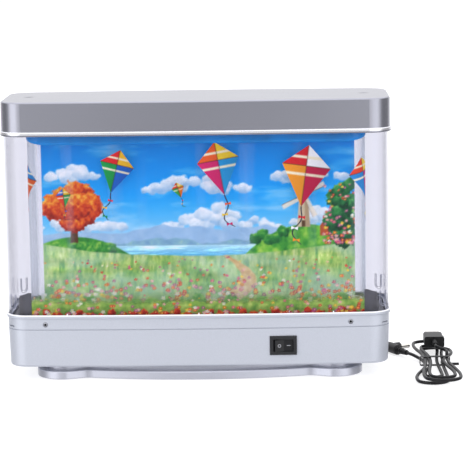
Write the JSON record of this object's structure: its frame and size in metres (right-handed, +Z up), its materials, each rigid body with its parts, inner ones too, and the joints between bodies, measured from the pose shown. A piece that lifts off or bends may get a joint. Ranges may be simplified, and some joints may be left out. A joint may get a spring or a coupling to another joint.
{
  "type": "moving picture lamp",
  "caption": "Long desktop lamp: a lit picture behind a moving printed film in a clear window, between a silver base with rocker switch and a silver lid, with a hanked USB power lead.",
  "frame": {"origin": "on the table under the middle of the lamp, level with the bottoms of its four pads", "axes": "+X along the lamp's length, to the right seen from the front; +Y to the back; +Z up"},
  "size_m": [0.3617, 0.1535, 0.2212],
  "materials": {
    "silver_base": "silver-grey moulded plastic, fine matte",
    "silver_lid": "silver painted moulded plastic, satin",
    "dark_tray": "charcoal moulded plastic",
    "meadow_print": "translucent printed strip",
    "clear_plastic": "clear polished acrylic",
    "printed_film": "translucent printed film",
    "header_blue": "deep blue printed band",
    "picture_print": "printed diffusing sheet",
    "white_plastic": "white moulded plastic",
    "board_green": "coated circuit board",
    "led_yellow": "phosphor on white package",
    "acetal": "white acetal",
    "brass": "turned",
    "steel": "zinc plated",
    "pad_rubber": "moulded",
    "switch_black": "moulded nylon",
    "rocker_black": "satin moulded",
    "jack_black": "moulded",
    "nickel": "nickel plated",
    "cord_black": "satin PVC jacket",
    "tie_black": "plastic coated wire",
    "plug_black": "soft moulded PVC"
  },
  "bodies": {
    "root": {"base_lower_shell": "silver_base", "base_upper_rim": "silver_base", "foot_stand": "silver_base", "lid_cover": "silver_lid", "film_tray": "dark_tray", "meadow_strip": "meadow_print", "clear_window": "clear_plastic", "film_loop": "printed_film", "film_header_band": "header_blue", "picture_front": "picture_print", "picture_rear": "picture_print", "light_box_frame": "white_plastic", "lid_inner_plate": "white_plastic", "led_board": "board_green", "led_chips": "led_yellow", "switch_terminals": "brass", "foot_screws": "steel", "base_screws": "steel", "rim_screws": "steel", "lid_screws": "steel", "motor_screws": "steel", "idler_axles": "steel", "gear_motor": "steel", "foot_pads": "pad_rubber", "switch_housing": "switch_black", "dc_jack": "jack_black", "dc_jack_pin": "nickel", "dc_plug_barrel": "nickel", "usb_plug_shell": "nickel", "cord_hank": "cord_black", "cord_tie": "tie_black", "dc_plug_body": "plug_black", "usb_plug_body": "plug_black", "usb_contact_block": "plug_black"},
    "rocker": {"switch_rocker": "rocker_black"},
    "drive_roller": {"drive_pulley": "acetal", "drive_shaft": "steel", "drive_gear": "acetal"},
    "idler_front_left": {"idler_pulley_front_left": "acetal"},
    "idler_front_right": {"idler_pulley_front_right": "acetal"},
    "idler_rear_right": {"idler_pulley_rear_right": "acetal"},
    "motor_output": {"motor_pinion": "brass", "motor_shaft": "steel"}
  },
  "joints": [
    {"name": "switch_rock", "type": "hinge", "parent": "root", "child": "rocker", "pos_m": [0.0669, -0.04487, 0.0274], "axis": [0, 0, 1], "range_deg": [-22, 0]},
    {"name": "drive_spin", "type": "hinge", "parent": "root", "child": "drive_roller", "pos_m": [-0.1212, 0.0245, 0.045], "axis": [0, 0, 1], "continuous": true},
    {"name": "idler_front_left_spin", "type": "hinge", "parent": "root", "child": "idler_front_left", "pos_m": [-0.1212, -0.0245, 0.045], "axis": [0, 0, 1], "continuous": true},
    {"name": "idler_front_right_spin", "type": "hinge", "parent": "root", "child": "idler_front_right", "pos_m": [0.1212, -0.0245, 0.045], "axis": [0, 0, 1], "continuous": true},
    {"name": "idler_rear_right_spin", "type": "hinge", "parent": "root", "child": "idler_rear_right", "pos_m": [0.1212, 0.0245, 0.045], "axis": [0, 0, 1], "continuous": true},
    {"name": "pinion_spin", "type": "hinge", "parent": "root", "child": "motor_output", "pos_m": [-0.103, 0.0245, 0.045], "axis": [0, 0, 1], "continuous": true}
  ],
  "couplings": [
    {"joint": "idler_front_left_spin", "follows": "drive_spin", "ratio": 1},
    {"joint": "idler_front_right_spin", "follows": "drive_spin", "ratio": 1},
    {"joint": "idler_rear_right_spin", "follows": "drive_spin", "ratio": 1},
    {"joint": "pinion_spin", "follows": "drive_spin", "ratio": -3}
  ]
}
